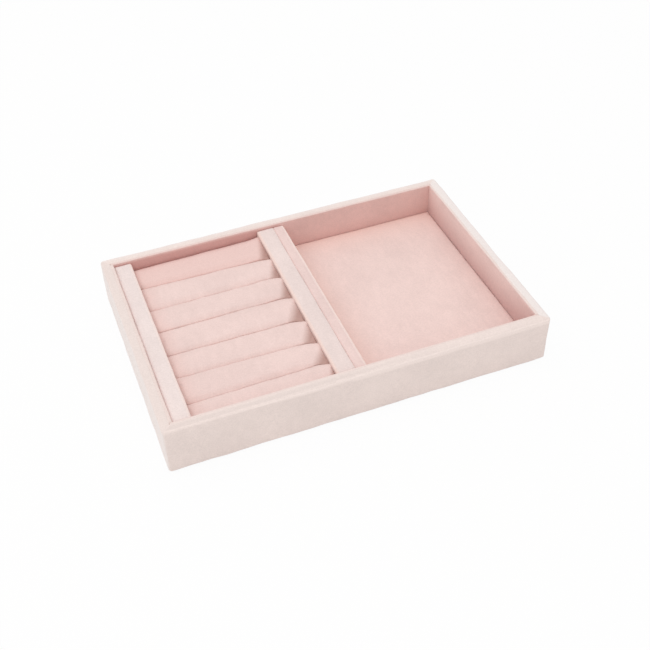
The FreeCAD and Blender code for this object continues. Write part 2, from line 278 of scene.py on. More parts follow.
def unevenness(points, seed, waves):
    """Soft waves added up, each of its own height, length and seed."""
    return sum(
        height * soft_waves(points, seed + number, length)
        for number, (height, length) in enumerate(waves)
    )


def zone(values, pair):
    """How far in a zone values are: 0 up to its start, then evenly up to 1 over its length."""
    start, length = pair
    return np.clip((values - start) / length, 0, 1)


def fading(distance, length):
    """1 before a place, 0 from a length past it on, and even in between."""
    return np.clip(1 - distance / length, 0, 1)


def by_place(x, rows):
    """A value that changes evenly between rows of a place on X and the value there."""
    places, values = zip(*rows)
    return np.interp(x, places, values)


def arc(centre, radius, start, end, count):
    """Points of a circular arc between two angles in degrees, as rows of (depth, height)."""
    angle = np.radians(np.linspace(start, end, count))
    return np.stack([centre[0] + radius * np.cos(angle), centre[1] + radius * np.sin(angle)], 1)


def run(start, end, count):
    """Evenly spaced points between two ends, without the ends, as rows of (depth, height)."""
    t = np.linspace(0, 1, count + 2)[1:-1, None]
    return np.array([start]) * (1 - t) + np.array([end]) * t


def joined(*parts):
    """Parts of a profile, each of rows of (depth, height), one after the other."""
    return np.concatenate([np.asarray(part, float) for part in parts])


def profile_normals(profile, closed):
    """Outward direction at each point of a profile: its tangent turned a quarter to the left."""
    if closed:
        tangent = np.roll(profile, -1, 0) - np.roll(profile, 1, 0)
    else:
        tangent = np.gradient(profile, axis=0)
    tangent /= np.maximum(np.linalg.norm(tangent, axis=1, keepdims=True), TINY)
    return np.stack([-tangent[:, 1], tangent[:, 0]], 1)


def side_shares(span):
    """Places along a straight side, from -1 to 1: close together near its ends and even between."""
    start = CORNER_STEPS[-1]
    middle = np.linspace(start, span - start, round(span / PATH_STEP))
    distance = np.concatenate([CORNER_STEPS[:-1], middle, span - CORNER_STEPS[-2::-1]])
    return 2 * distance / span - 1


def round_path(length, width):
    """A path round a rectangle, counter-clockwise from above: for each point the share of half the
    length and of half the width that it stands at, and the angle of its outward direction."""
    along = side_shares(length)
    across = side_shares(width)
    turn = np.linspace(0, 90, CORNER_POINTS)
    rows = []
    for share_x, share_y, angle in (
        (-1, -1, 180 + turn),
        (along, -1, 270),
        (1, -1, 270 + turn),
        (1, across, 360),
        (1, 1, turn),
        (-along, 1, 90),
        (-1, 1, 90 + turn),
        (-1, -across, 180),
    ):
        rows.append(np.stack(np.broadcast_arrays(share_x, share_y, angle)).astype(float))
    return np.concatenate(rows, 1)


def carried_round(low, high, corner, depth, height, path):
    """A profile carried round a rectangle: each profile point goes round on the outline moved in by its
    depth, whose corner radius is smaller by that depth, at its own height."""
    centre = (low + high) / 2
    half = (high - low) / 2
    share_x, share_y, angle = path
    radius = np.maximum(corner - depth, 0)
    x = centre[0] + share_x * (half[0] - depth - radius) + radius * np.cos(np.radians(angle))
    y = centre[1] + share_y * (half[1] - depth - radius) + radius * np.sin(np.radians(angle))
    return np.stack(np.broadcast_arrays(x, y, height), -1)


def grid_faces(rows, columns, close_rows=False, close_columns=False):
    """Quads of a grid of points, whose rows and columns close into a loop if asked."""
    index = np.arange(rows * columns).reshape(rows, columns)
    if close_columns:
        index = np.hstack([index, index[:, :1]])
    if close_rows:
        index = np.vstack([index, index[:1]])
    corners = (index[:-1, :-1], index[:-1, 1:], index[1:, 1:], index[1:, :-1])
    return np.stack(corners, -1).reshape(-1, 4)


def add_object(name, data):
    """A new object in the scene."""
    thing = bpy.data.objects.new(name, data)
    bpy.context.scene.collection.objects.link(thing)
    return thing


def make_piece(name, points, faces, material):
    """A smooth-shaded object at the origin, whose points that fall together are merged."""
    mesh = bpy.data.meshes.new(name)
    mesh.from_pydata((points.reshape(-1, 3) * MM).tolist(), [], faces)
    shell = bmesh.new()
    shell.from_mesh(mesh)
    bmesh.ops.remove_doubles(shell, verts=shell.verts, dist=MERGE)
    shell.to_mesh(mesh)
    shell.free()
    mesh.polygons.foreach_set("use_smooth", np.ones(len(mesh.polygons), bool))
    mesh.materials.append(material)
    mesh.update()
    return add_object(name, mesh)


def mesh_points(mesh):
    """A mesh's points as rows of x, y, z."""
    points = np.empty(len(mesh.vertices) * 3)
    mesh.vertices.foreach_get("co", points)
    return points.reshape(-1, 3)


def piece_places(piece):
    """The x, y and z of a piece's points, in millimetres."""
    return mesh_points(piece.data).T / MM


def face_outward(piece):
    """Turn every face of a closed mesh outwards."""
    shell = bmesh.new()
    shell.from_mesh(piece.data)
    bmesh.ops.recalc_face_normals(shell, faces=shell.faces)
    shell.to_mesh(piece.data)
    shell.free()
    piece.data.update()


def paint(piece, name, values):
    """Keep a share from 0 to 1 at each point of a piece, for its finish to use."""
    layer = piece.data.attributes.new(name, "FLOAT", "POINT")
    layer.data.foreach_set("value", np.clip(values, 0, 1).astype(np.float32))


def node_box(node):
    """A CAD node's lowest and highest corner, in millimetres."""
    low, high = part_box(node)
    return np.array(low) / MM, np.array(high) / MM


def hand_over(piece, body, slot, *nodes):
    """Let a piece ride on its body and stand for CAD nodes, which it hides. The slot is not used."""
    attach(piece, body)
    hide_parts(*nodes)


def wrap_velvet():
    """The outer cloth as one closed loop of section, carried round the tray: in under the base, up the
    outside, over the rim, down the inside, and back along its own inner face. The outer face is a little
    uneven, and the rim dips in a crease along the mitre of each corner, whose depth falls off as a bell
    curve."""
    low, high = node_box("outer_wrap")
    bottom, top = low[2], high[2]
    floor = node_box("front_lining_cloth")[0][2]
    inner_edge = WALL_WRAPPED + TURN_IN
    board_top = top - CLOTH
    outer_round = (RIM_OUTER, top - RIM_OUTER)
    inner_round = (WALL_WRAPPED - RIM_INNER, top - RIM_INNER)
    foot_round = (FOOT, bottom + FOOT)
    outer = joined(
        [(inner_edge, bottom)],
        run((inner_edge, bottom), (FOOT, bottom), UNDER_POINTS),
        arc(foot_round, FOOT, 270, 180, count=5),
        run((0, bottom + FOOT), (0, top - RIM_OUTER), count=20),
        arc(outer_round, RIM_OUTER, 180, 90, count=9),
        run((RIM_OUTER, top), (WALL_WRAPPED - RIM_INNER, top), count=5),
        arc(inner_round, RIM_INNER, 90, 0, count=5),
        run((WALL_WRAPPED, top - RIM_INNER), (WALL_WRAPPED, floor), INSIDE_POINTS),
        [(WALL_WRAPPED, floor)],
    )
    inner = joined(
        [(WALL_WRAPPED - CLOTH, floor)],
        arc(inner_round, RIM_INNER - CLOTH, 0, 90, count=3),
        run((WALL_WRAPPED - RIM_INNER, board_top), (RIM_OUTER, board_top), count=2),
        arc(outer_round, RIM_OUTER - CLOTH, 90, 180, count=5),
        arc(foot_round, FOOT - CLOTH, 180, 270, count=4),
        [(inner_edge, bottom + CLOTH)],
    )
    profile = joined(outer, inner)
    normal = profile_normals(profile, closed=True)
    path = round_path(high[0] - low[0], high[1] - low[1])
    depth, height = profile[:, :1], profile[:, 1:]
    base = carried_round(low, high, WALL_CORNER, depth, height, path)
    on_face = np.zeros((len(profile), 1))
    on_face[UNDER_POINTS:len(outer) - INSIDE_POINTS] = 1.0
    from_side = high[0] - np.abs(base[..., 0])
    from_end = high[1] - np.abs(base[..., 1])
    mitre = np.exp(-(((from_side - from_end) / MITRE_WIDTH) ** 2))
    mitre *= zone(base[..., 2] - top, MITRE_UP) * zone(depth, MITRE_IN)
    lift = on_face * unevenness(base, WRAP_SEED, WRAP_WAVES) - MITRE_DIP * mitre
    points = carried_round(
        low, high, WALL_CORNER, depth + lift * normal[:, :1], height + lift * normal[:, 1:], path
    )
    faces = grid_faces(len(profile), path.shape[1], close_rows=True, close_columns=True)
    wrap = make_piece("outer_velvet_wrap", points, faces.tolist(), velvets["outer_velvet"])
    paint_wrap(wrap, low, high)
    hand_over(wrap, "tray", "outer_velvet", "outer_wrap")


def paint_wrap(wrap, low, high):
    """Painted light and shade on the outer cloth, which change from one side to the next at the mitres:
    painted light on the sides and the back rim, painted shade on top of the front and left rims, and a
    painted highlight along the upper edge of the front."""
    x, y, z = piece_places(wrap)
    height, inset = z - high[2], y - low[1]
    # Painted light: lighter on the outer sides, less at the top of the left one, and on the back rim
    on_side = (np.abs(x) - high[0] - np.abs(y) + high[1]) / SIDE_BLEND + 0.5
    left_light = np.maximum(zone(height, LEFT_TOP), LEFT_TOP_LIGHT)
    side_light = np.clip(on_side, 0, 1) * np.where(x < 0, left_light, 1)
    back_light = BACK_RIM_LIGHT * zone(y - high[1], BACK_RIM)
    paint(wrap, "light", np.maximum(side_light, back_light))
    # Painted shade on top of the front rim, by X, and of the left rim
    on_front = np.clip(0.5 - on_side, 0, 1) * 2 * (y < 0)
    front_rim = on_front * zone(inset, FRONT_RIM) * zone(inset, FRONT_RIM_END)
    front_rim *= by_place(x, FRONT_RIM_DEEP)
    left_rim = LEFT_RIM_DEEP * np.clip(on_side, 0, 1) * (x < 0)
    paint(wrap, "painted_shade", zone(height, RIM_TOP) * np.maximum(front_rim, left_rim))
    # Painted highlight in a band along the upper edge of the front
    edge = on_front * zone(height, (-by_place(x, EDGE_DOWN), EDGE_DOWN_BLEND))
    edge *= zone(height, EDGE_TOP) * by_place(x, EDGE_STRENGTH)
    paint(wrap, "edge", edge)


def covered_bar(name, body, low, high, seed, bright):
    """The cloth over a rail or the divider: a profile that goes up the sides and over a softly rounded
    edge to the middle of the top, with its inner face behind it, carried round the bar's outline. The
    edge is an arc that runs into the top and meets the side at an angle, and the top has a slight crown,
    a power of the share of the way to its middle. A painted highlight runs along the bright one of the
    long edges, and painted shade goes down the sides, most of all in the pockets at the ends of the ring
    rolls."""
    bottom, top = low[2], high[2]
    middle = min(high[0] - low[0], high[1] - low[1]) / 2
    edge = -BAR_EDGE * math.cos(math.radians(BAR_EDGE_START))
    shoulder = top - BAR_EDGE * (1 - math.sin(math.radians(BAR_EDGE_START)))
    inner = joined(
        [(middle, top - CLOTH)],
        run((middle, top - CLOTH), (edge, top - CLOTH), count=2),
        arc((edge, top - BAR_EDGE), BAR_EDGE - CLOTH, 90, BAR_EDGE_START, count=4),
        [(CLOTH, bottom)],
    )
    outer = joined(
        [(0, bottom)],
        run((0, bottom), (0, shoulder), count=12),
        arc((edge, top - BAR_EDGE), BAR_EDGE, BAR_EDGE_START, 90, count=8),
        run((edge, top), (middle, top), count=5),
        [(middle, top)],
    )
    profile = joined(inner, outer)
    normal = profile_normals(profile, closed=False)
    normal[-1] = (0, 1)
    path = round_path(high[0] - low[0], high[1] - low[1])
    depth, height = profile[:, :1], profile[:, 1:]
    base = carried_round(low, high, BAR_CORNER, depth, height, path)
    on_face = np.zeros((len(profile), 1))
    on_face[len(inner) + BAR_FOOT_POINTS:] = 1.0
    crown = BAR_CROWN * zone(depth, (0, middle)) ** BAR_CROWN_POWER * (height > top - BAR_LEVEL)
    lift = on_face * (np.maximum(unevenness(base, seed, BAR_WAVES), -BAR_HOLLOW) + crown)
    points = carried_round(
        low, high, BAR_CORNER, depth + lift * normal[:, :1], height + lift * normal[:, 1:], path
    )
    faces = grid_faces(len(profile), path.shape[1], close_columns=True)
    finish = f"{name}_velvet"
    bar = make_piece(finish, points, faces.tolist(), velvets[finish])
    x, y, z = piece_places(bar)
    # Painted highlight along the bright long edge
    paint(bar, "light", zone(np.abs(x - bright), BAR_BLOOM) * zone(z - top, BAR_BLOOM_UP))
    # Painted shade down the sides, most in the pockets at the rolls' right ends
    at_rolls = np.abs(x - rail_faces()[1]) < BAR_SAME_FACE
    shade = BAR_SIDE_DEEP + (1 - BAR_SIDE_DEEP) * pockets(y) * at_rolls
    paint(bar, "painted_shade", shade * zone(z - top, BAR_SIDE_DOWN))
    hand_over(bar, body, "rail_velvet", f"{name}_cloth")


def lining_panel(side, seed):
    """The cloth of one wall lining: an angle section, down the face and back over the top edge of its
    card, carried along the wall. The face draws back along a quarter circle at each end."""
    low, high = node_box(f"{side}_lining_cloth")
    along = side in ("front", "back")
    if not along:
        low, high = low - (0, LINING_PRESS, 0), high + (0, LINING_PRESS, 0)
    inward = -1.0 if side in ("back", "right") else 1.0
    axis, across = (0, 1) if along else (1, 0)
    face = low[across] if inward < 0 else high[across]
    tucked = high[across] - low[across] + LINING_TUCK
    bottom, top = low[2], high[2] + LINING_RISE
    section = joined(
        [(tucked, top - LINING_CLOTH), (tucked, top)],
        run((tucked, top), (LINING_TOP, top), count=4),
        arc((LINING_TOP, top - LINING_TOP), LINING_TOP, 90, 180, count=7),
        run((0, top - LINING_TOP), (0, bottom), count=16),
        [(0, bottom), (LINING_CLOTH, bottom), (LINING_CLOTH, top - LINING_CLOTH)],
    )
    span = high[axis] - low[axis]
    even = np.linspace(LINING_EVEN_START, span - LINING_EVEN_START, round(span / PATH_STEP))
    station = np.concatenate([LINING_END_STEPS, even, span - LINING_END_STEPS[::-1]])
    drawn = np.clip(LINING_END - np.minimum(station, span - station), 0, LINING_END)
    recess = LINING_END - np.sqrt(LINING_END**2 - drawn**2)
    depth = np.broadcast_to(section[:, :1], (len(section), len(station))).copy()
    height = np.broadcast_to(section[:, 1:], depth.shape)
    place = np.broadcast_to(low[axis] + station, depth.shape)
    uneven = unevenness(np.stack([place, depth, height], -1), seed, LINING_WAVES)
    full = LINING_FULL if side == "left" else 0
    facing = zone(depth, (LINING_CLOTH, -LINING_CLOTH))
    depth += facing * (LINING_DRAW * recess + LINING_BACK + uneven - full)
    points = np.empty(depth.shape + (3,))
    points[..., axis] = place
    points[..., across] = face - inward * depth
    points[..., 2] = height
    index = np.arange(depth.size).reshape(depth.shape)
    faces = grid_faces(*depth.shape, close_rows=True).tolist()
    faces += [index[::-1, -1].tolist(), index[:, 0].tolist()]
    finish = velvets["lining_velvet" if along else "side_lining_velvet"]
    panel = make_piece(f"{side}_lining_velvet", points, faces, finish)
    face_outward(panel)
    x, y, z = piece_places(panel)
    # Painted light along the top edge
    edge_light = BACK_LINING_LIGHT if side == "back" else 1
    paint(panel, "light", edge_light * zone(z, LINING_EDGE))
    # Painted shade on the face: on the front and back ones over the left half and low down in the right
    # half; on the side ones darker downwards and towards the front end
    on_face = zone(z, LINING_FACE)
    if along:
        paint(panel, "painted_shade", on_face * np.where(x < 0, 1, LOW_DEEP * zone(z, LOW_DEEP_DOWN)))
    else:
        front_end = FRONT_END_DEEP * zone(y, FRONT_END) * on_face
        paint(panel, "painted_shade", (SIDE_DEEP_TOP - z) / SIDE_DEEP_REACH + front_end)
    hand_over(panel, "tray", "lining_velvet", f"{side}_lining_cloth")


def rail_faces():
    """Where the ring rolls end: the faces of the left and of the right rail, with their full cloth."""
    left, right = node_box("left_rail_cloth")[1][0], node_box("right_rail_cloth")[0][0]
    return left + LEFT_RAIL_FULL, right - RIGHT_RAIL_FULL


def roll_crest(number, x):
    """How high a ring roll's crest is before it swells: evenly higher towards the right rail."""
    return ROLL_CRESTS[number - 1] - ROLL_CAP / 2 - np.interp(x, rail_faces(), (ROLL_FALL, 0))


def roll_lip(number, x):
    """How far a ring roll's top turns up near the right rail: a parabola up to the lip's level."""
    rise = fading(rail_faces()[1] - x, ROLL_LIP_LENGTH) ** 2
    return (ROLL_LIP_LEVEL - roll_crest(number, x)) * rise


def roll_edge(number, x):
    """Where a ring roll meets the one behind it, or the one after the last meets the wall: a straight
    line that bends forward near the right rail, as a parabola, and further by a share of the lip."""
    straight = np.interp(x, rail_faces(), ROLL_EDGES[number - 1])
    if number in (1, len(ROLL_EDGES)):
        return straight
    bend = ROLL_BEND * fading(rail_faces()[1] - x, ROLL_BEND_LENGTH) ** 2
    return straight - bend - ROLL_LIP_BEND * roll_lip(number, x)


def pockets(y):
    """The share of painted shade on the right rail's side in the pocket at the right end of each ring
    roll, by where it is between the roll's back and front edges: little over its back half, then rising
    evenly to 1 at its front."""
    edges = np.array([roll_edge(number, rail_faces()[1]) for number in range(1, len(ROLL_EDGES) + 1)])
    roll = np.clip(np.searchsorted(-edges, -y, side="right") - 1, 0, len(edges) - 2)
    share = (edges[roll] - y) / (edges[roll] - edges[roll + 1])
    return np.maximum(zone(share, POCKET), POCKET_LEAST)


def past_fold(number, x, y):
    """How far past the line of its fold a place on a ring roll is: 1 in the corner of the right rail and
    the next roll, evenly less to 0 on the line and on beyond it, down to -1."""
    length, share = FOLDS[number - 1]
    back, front = roll_edge(number, x), roll_edge(number + 1, x)
    to_rail = (rail_faces()[1] - x) / length
    to_front = (y - front) / (share * (back - front))
    return np.clip(1 - to_rail - to_front, -1, 1)


def pressed(values, low, high):
    """Values pressed between two limits: past a limit, only a small share of the distance to it is left,
    so that no two points fall together."""
    kept = np.clip(values, low, high)
    return kept + PRESS_GIVE * (values - kept)


def evaluated_mesh(thing):
    """An object's mesh as its modifiers make it."""
    return bpy.data.meshes.new_from_object(
        thing.evaluated_get(bpy.context.evaluated_depsgraph_get())
    )


def swell(points, faces, voxel, glue_height, cap):
    """Blow a closed form up a little as a cloth bag: an even mesh of it is made, cloth on that is
    pressed out from inside with its underside held, and each move, by the hyperbolic tangent, stays
    under the cap. The result is the even mesh's points and faces."""
    scale = MM * SWELL_SCALE
    mesh = bpy.data.meshes.new("bag")
    mesh.from_pydata((points.reshape(-1, 3) * scale).tolist(), [], faces)
    bag = add_object("bag", mesh)
    even = bag.modifiers.new("even", "REMESH")
    even.mode = "VOXEL"
    even.voxel_size = voxel * scale
    mesh = evaluated_mesh(bag)
    bag.modifiers.clear()
    bag.data = mesh
    start = mesh_points(mesh)
    end = start
    held = bag.vertex_groups.new(name="glued")
    held.add(np.flatnonzero(start[:, 2] < glue_height * scale).tolist(), 1.0, "REPLACE")
    cloth = bag.modifiers.new("cloth", "CLOTH")
    cloth.settings.use_pressure = True
    cloth.settings.uniform_pressure_force = SWELL_PRESSURE
    cloth.settings.effector_weights.gravity = 0
    cloth.settings.vertex_group_mass = held.name
    cloth.point_cache.frame_start = 1
    cloth.point_cache.frame_end = SWELL_FRAMES
    for number in range(1, SWELL_FRAMES + 1):
        bpy.context.scene.frame_set(number)
    blown = evaluated_mesh(bag)
    end = mesh_points(blown)
    bpy.data.meshes.remove(blown)
    bpy.context.scene.frame_set(1)
    move = (end - start) / scale
    far = np.linalg.norm(move, axis=1, keepdims=True)
    move *= cap * np.tanh(far / cap) / np.maximum(far, TINY)
    polygons = [list(face.vertices) for face in mesh.polygons]
    bpy.data.objects.remove(bag)
    return start / scale + move, polygons


def finish_padded(name, points, polygons, finish):
    """A swollen form as a finished padded piece, with one subdivision."""
    piece = make_piece(name, points, polygons, velvets[finish])
    smooth = piece.modifiers.new("soft", "SUBSURF")
    smooth.levels = 1
    smooth.render_levels = 1
    return piece


def roll_form(number, bottom):
    """A ring roll before it swells, as points and faces: a rounded-square section, the superellipse
    |y|^n + |z|^n = 1 with a larger n behind its crest than before it, and another on a side that no
    other roll presses, carried along X between the lines where it meets its neighbours. At the right
    rail its back edge bends forward, its top turns up in a small lip, and a sloping plane, joined on by
    a smooth minimum, lowers its front corner where the cloth is folded in."""
    rails = rail_faces()
    first, last = number == 1, number == len(ROLL_CRESTS)
    left, right = rails[0] - ROLL_END_OVER, rails[1] + ROLL_END_OVER
    near = ROLL_END_STEPS[-1]
    even = np.linspace(
        left + near + ROLL_EVEN_START, right - near - ROLL_EVEN_START, ROLL_EVEN_POINTS
    )
    x = np.concatenate([left + ROLL_END_STEPS, even, right - ROLL_END_STEPS[::-1]])[:, None]
    turn = np.linspace(0, 2 * np.pi, ROLL_SECTION_POINTS, endpoint=False)
    back_power, back_over = ROLL_FREE if first else ROLL_BACK
    front_power, front_over = ROLL_FREE if last else ROLL_FRONT
    power = 2 / np.where(np.cos(turn) > 0, back_power, front_power)
    across = np.sign(np.cos(turn)) * np.abs(np.cos(turn)) ** power
    upward = np.sign(np.sin(turn)) * np.abs(np.sin(turn)) ** power
    crest, lip = roll_crest(number, x), roll_lip(number, x)
    half_height = (crest - bottom) / 2 + ROLL_UNDER
    back = roll_edge(number, x) + back_over
    front = roll_edge(number + 1, x) - front_over
    front -= FOLD_FILL * fading(rails[1] - x, FOLD_FILL_REACH * FOLDS[number - 1][0])
    y = (back + front) / 2 + (back - front) / 2 * across
    z = crest - half_height + half_height * upward + lip * (upward > 0)
    plane = crest + lip - FOLD_DROP * past_fold(number, x, y)
    z = -FOLD_SOFT * np.logaddexp(-z / FOLD_SOFT, -plane / FOLD_SOFT)
    points = np.stack(np.broadcast_arrays(x, y, np.maximum(z, bottom)), -1)
    index = np.arange(y.size).reshape(y.shape)
    faces = grid_faces(*y.shape, close_columns=True)[:, ::-1].tolist()
    faces += [index[0].tolist(), index[-1, ::-1].tolist()]
    return points, faces


def ring_roll(number):
    """A ring roll: its form starts a little too large, swells, and is then pressed flat by its
    neighbours, the rails and the board."""
    bottom = node_box(f"ring_roll_cloth_{number}")[0][2]
    rails = rail_faces()
    form, polygons = swell(
        *roll_form(number, bottom), ROLL_VOXEL, bottom + ROLL_GLUED, ROLL_CAP
    )
    free = zone(form[:, 2] - bottom, ROLL_UNEVEN)
    for seed, (height, length) in zip(ROLL_SEEDS, ROLL_WAVES):
        form[:, 2] += free * height * soft_waves(form, seed + number, length)
    form[:, 0] = pressed(form[:, 0], rails[0] - ROLL_TOUCH, rails[1] + ROLL_TOUCH)
    behind, before = roll_edge(number, form[:, 0]), roll_edge(number + 1, form[:, 0])
    form[:, 1] = pressed(form[:, 1], before + ROLL_TOUCH, behind - ROLL_TOUCH)
    piece = finish_padded(f"ring_roll_{number}", form, polygons, "roll_velvet")
    x, y, _ = piece_places(piece)
    # Painted warm shade: a warmer, deeper tint at the left end and over the first roll
    left_painted_warm_shade = ROLL_WARM * fading(x - rails[0], ROLL_WARM_LENGTH)
    paint(piece, "light", np.maximum(left_painted_warm_shade, FIRST_ROLL_WARM if number == 1 else 0))
    # Painted shade in the fold at the right end
    fold_painted_shade = np.minimum(FOLD_GAIN * past_fold(number, x, y), FOLD_SHADE)
    # Painted shade where the left end meets the rail, most in its front corner
    left_end = fading(x - rails[0], ROLL_LEFT_LENGTH) ** 2
    left_corner = left_end * fading(y - roll_edge(number + 1, x), ROLL_LEFT_LENGTH)
    left_end_painted_shade = ROLL_LEFT_DEEP * left_end + ROLL_CORNER_DEEP * left_corner
    paint(piece, "painted_shade", np.maximum(fold_painted_shade, left_end_painted_shade))
    nodes = (f"ring_roll_cloth_{number}", f"ring_roll_foam_{number}")
    hand_over(piece, "ring_insert", "roll_velvet", *nodes)


def floor_pad():
    """The padded floor: a slab whose profile goes out along its underside, up the side, over a soft edge
    and in to the middle of its top, carried round its outline. It starts a little too large, swells to a
    slight crown, and is then pressed flat by the walls and the divider."""
    low, high = node_box("pad_cloth")
    bottom, top = low[2], high[2] + PAD_RISE - PAD_CAP / 2
    divider, front = node_box("divider_cloth")[1][0], node_box("front_lining_cloth")[1][1]
    right, back = node_box("right_lining_cloth")[0][0], node_box("back_lining_cloth")[0][1]
    bay_low = np.array([divider, front]) + PAD_TOUCH
    bay_high = np.array([right, back]) - PAD_TOUCH
    outline_low, outline_high = bay_low - PAD_OVER, bay_high + PAD_OVER
    span = outline_high - outline_low
    middle = span.min() / 2
    profile = joined(
        [(middle, bottom)],
        run((middle, bottom), (0, bottom), PAD_ACROSS_POINTS),
        [(0, bottom)],
        run((0, bottom), (0, top - PAD_EDGE), count=3),
        arc((PAD_EDGE, top - PAD_EDGE), PAD_EDGE, 180, 90, count=7),
        run((PAD_EDGE, top), (middle, top), PAD_ACROSS_POINTS),
        [(middle, top)],
    )
    path = round_path(*span)
    depth, height = profile[:, :1], profile[:, 1:]
    points = carried_round(outline_low, outline_high, PAD_CORNER, depth, height, path)
    faces = grid_faces(len(profile), path.shape[1], close_columns=True).tolist()
    form, polygons = swell(points, faces, PAD_VOXEL, bottom + PAD_GLUED, PAD_CAP)
    on_top = zone(form[:, 2] - top, PAD_TOP)
    form[:, 2] += on_top * unevenness(form, PAD_SEED, PAD_WAVES)
    form[:, :2] = pressed(form[:, :2], bay_low, bay_high)
    piece = finish_padded("floor_pad", form, polygons, "pad_velvet")
    x, y, _ = piece_places(piece)
    # Painted warm shade near the divider and the back wall
    near_divider = fading(x - bay_low[0], PAD_WARM_DIVIDER) ** 2
    near_back = fading(bay_high[1] - y, PAD_WARM_BACK) ** 2
    paint(piece, "light", np.maximum(near_divider, near_back))
    hand_over(piece, "tray", "pad_velvet", "pad_cloth", "pad_foam")


# Velvet: sizes of the broad patches and the brushed strokes of nap and of the pile; how nap is stretched
# and weighed, over which range noise is used, and how deep speckle is; roughness, bumps and sheen
NAP_PATCH = 26.0
NAP_STROKE = 3.2
NAP_STRETCH = (1.0, 0.38, 0.8)
NAP_WEIGHTS = (0.55, 0.45)
VELVET_RANGE = (0.36, 0.64)
ROUGH_RANGE = (0.3, 0.7)
NAP_ROUGHNESS = (0.84, 0.96)
NAP_BUMP = (0.30, 0.35)
PILE_GRAIN = 0.9
PILE_SPECKLE = 0.26
PILE_SPECKLE_TONE = (0.72, 0.72, 0.72)
PILE_BUMP = (0.35, 0.22)
VELVET_SPECULAR = 0.12
VELVET_SHEEN_ROUGHNESS = 0.45
VELVET_SHEEN_TINT = (1.0, 0.93, 0.90, 1.0)

# Board, card, paper and felt: fibres, which run one way, and flecks
FIBRE_TURN = (0, 0, 20)
FIBRE_STRETCH = (1.0, 0.25, 1.0)
FIBRE_RANGE = (0.35, 0.65)
FIBRE_TINTS = (0.93, 1.05)
FIBRE_ROUGHNESS = (-0.06, 0.04)
FIBRE_BUMP = (0.3, 0.12)
FLECK_SIZE = 0.8
FLECK_RANGE = (0.62, 0.74)
FLECK_MOST = 0.6
BOARD_SPECULAR = 0.25

# Sockets of a Mix node that is set to colours
MIX_SHARE = 0
MIX_COLOURS = (6, 7)
MIX_RESULT = 2


class Finish:
    """A node material in the making: a Principled shader and short calls for the nodes before it."""

    def __init__(self, name):
        self.material = bpy.data.materials.new(name)
        self.material.use_nodes = True
        self.tree = self.material.node_tree
        self.tree.nodes.clear()
        output = self.add("ShaderNodeOutputMaterial")
        self.shader = self.add("ShaderNodeBsdfPrincipled")
        self.link(self.shader.outputs["BSDF"], output.inputs["Surface"])
        self.place = self.add("ShaderNodeTexCoord").outputs["Object"]

    def add(self, kind):
        return self.tree.nodes.new(kind)

    def link(self, source, target):
        self.tree.links.new(source, target)

    def feed(self, name, source):
        """Let an output drive one of the shader's inputs."""
        self.link(source, self.shader.inputs[name])

    def keep(self, name, value):
        """Set one of the shader's inputs, the same all over."""
        self.shader.inputs[name].default_value = value

    def stretched(self, turn, stretch):
        """Object coordinates turned by degrees about the axes and stretched."""
        node = self.add("ShaderNodeMapping")
        node.inputs["Rotation"].default_value = [math.radians(angle) for angle in turn]
        node.inputs["Scale"].default_value = stretch
        self.link(self.place, node.inputs["Vector"])
        return node.outputs["Vector"]

    def noise(self, size, detail, rough, place=None):
        """Noise with features of about the given size in millimetres."""
        node = self.add("ShaderNodeTexNoise")
        node.inputs["Scale"].default_value = 1 / (size * MM)
        node.inputs["Detail"].default_value = detail
        node.inputs["Roughness"].default_value = rough
        self.link(place or self.place, node.inputs["Vector"])
        return node.outputs[0]

    def spread(self, source, range_from, range_to=(0.0, 1.0)):
        """A range of values spread over another range."""
        node = self.add("ShaderNodeMapRange")
        names = ("From Min", "From Max", "To Min", "To Max")
        for name, number in zip(names, (*range_from, *range_to)):
            node.inputs[name].default_value = number
        self.link(source, node.inputs["Value"])
        return node.outputs["Result"]

    def combined(self, kind, first, second):
        """Two values, or a value and a number, joined by a sum, a product and so on."""
        node = self.add("ShaderNodeMath")
        node.operation = kind
        self.link(first, node.inputs[0])
        if isinstance(second, (int, float)):
            node.inputs[1].default_value = second
        else:
            self.link(second, node.inputs[1])
        return node.outputs[0]

    def blend(self, share, first, second, kind="MIX"):
        """A colour between two, or the first multiplied by the second, up to a share. Each is a colour
        or an output of colours."""
        node = self.add("ShaderNodeMix")
        node.data_type = "RGBA"
        node.blend_type = kind
        self.link(share, node.inputs[MIX_SHARE])
        for number, colour in zip(MIX_COLOURS, (first, second)):
            if isinstance(colour, tuple):
                node.inputs[number].default_value = (*colour, 1.0)
            else:
                self.link(colour, node.inputs[number])
        return node.outputs[MIX_RESULT]

    def bump(self, source, strength, distance, under=None):
        """A bump of the given height in millimetres, over another one if given."""
        node = self.add("ShaderNodeBump")
        node.inputs["Strength"].default_value = strength
        node.inputs["Distance"].default_value = distance * MM
        self.link(source, node.inputs["Height"])
        if under is not None:
            self.link(under, node.inputs["Normal"])
        return node.outputs["Normal"]

    def own(self, name):
        """A share that the piece itself keeps at its points."""
        node = self.add("ShaderNodeAttribute")
        node.attribute_name = name
        return node.outputs["Fac"]


def tinted(colour, factor):
    """A colour made lighter or deeper by one factor."""
    return tuple(min(1.0, part * factor) for part in colour)


